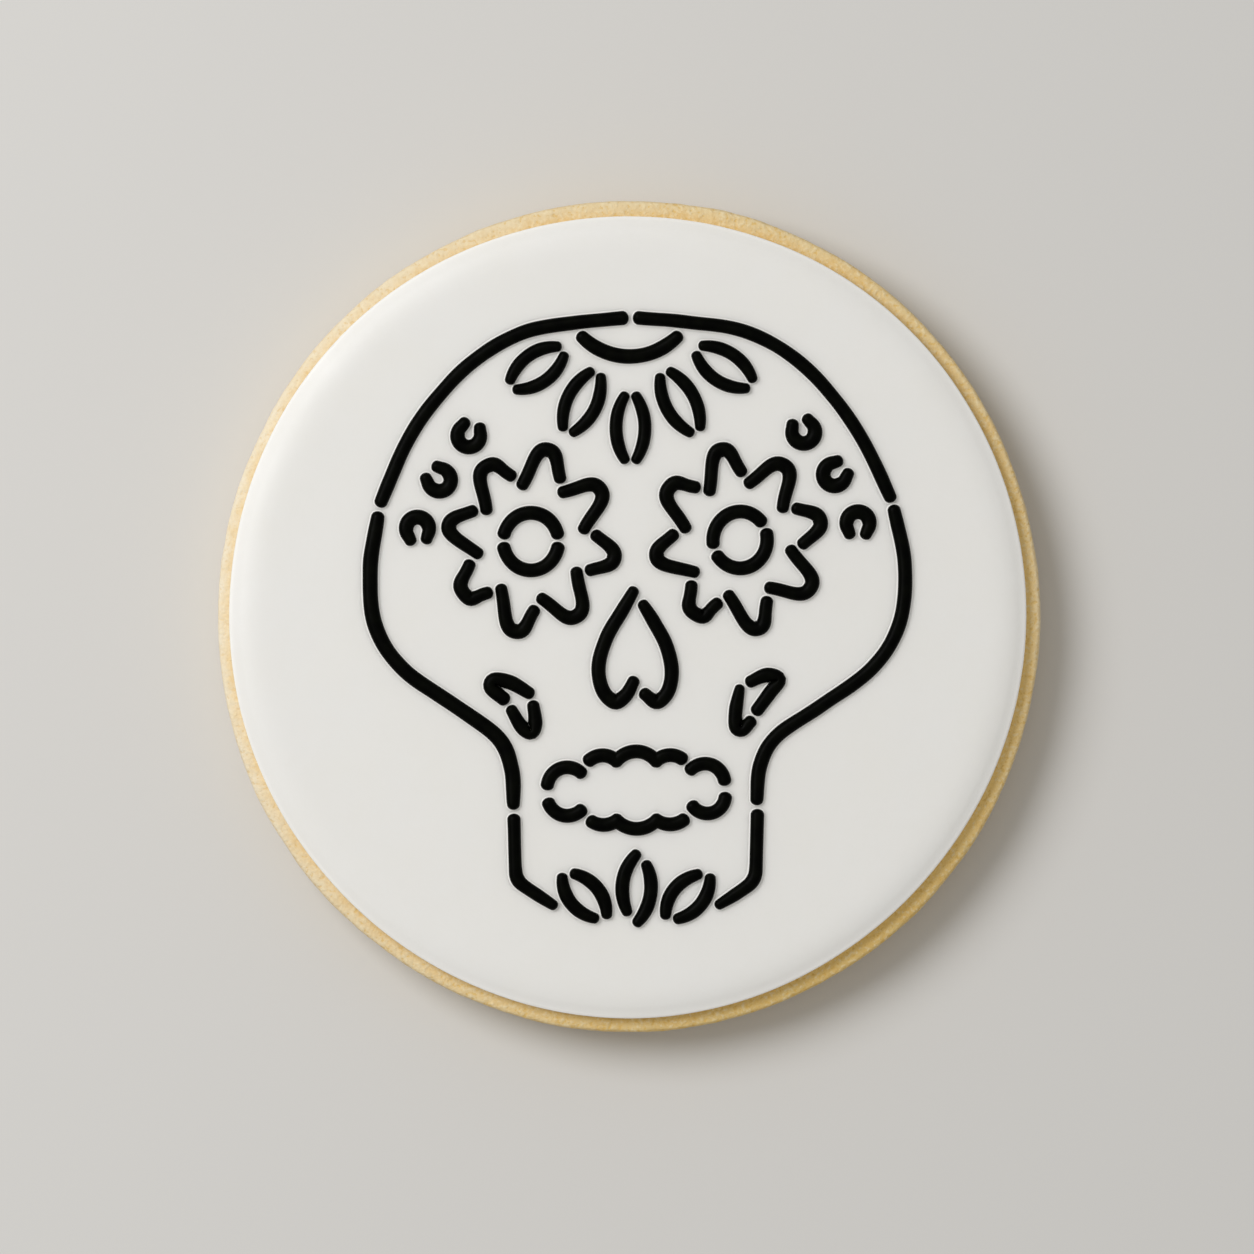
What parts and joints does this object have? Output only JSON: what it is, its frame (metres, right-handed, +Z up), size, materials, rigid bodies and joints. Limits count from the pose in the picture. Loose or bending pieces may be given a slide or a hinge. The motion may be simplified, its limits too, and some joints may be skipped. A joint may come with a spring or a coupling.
{
  "type": "iced sugar cookie",
  "caption": "Round flat biscuit covered with white icing, with a traditional sugar skull piped on top in raised black lines.",
  "frame": {"origin": "middle of the flat underside, where the biscuit rests", "axes": "+Z up out of the iced face, +Y towards the crown of the piped skull, +X towards its left eye, to the right as seen from above"},
  "size_m": [0.0801, 0.0809, 0.0092],
  "materials": {
    "biscuit": "dry baked crumb",
    "icing": "satin set sugar icing, white",
    "piping": "satin set sugar icing, black, for the raised lines that are part of the icing node"
  },
  "bodies": {
    "root": {"biscuit": "biscuit", "icing": "icing"}
  },
  "joints": []
}
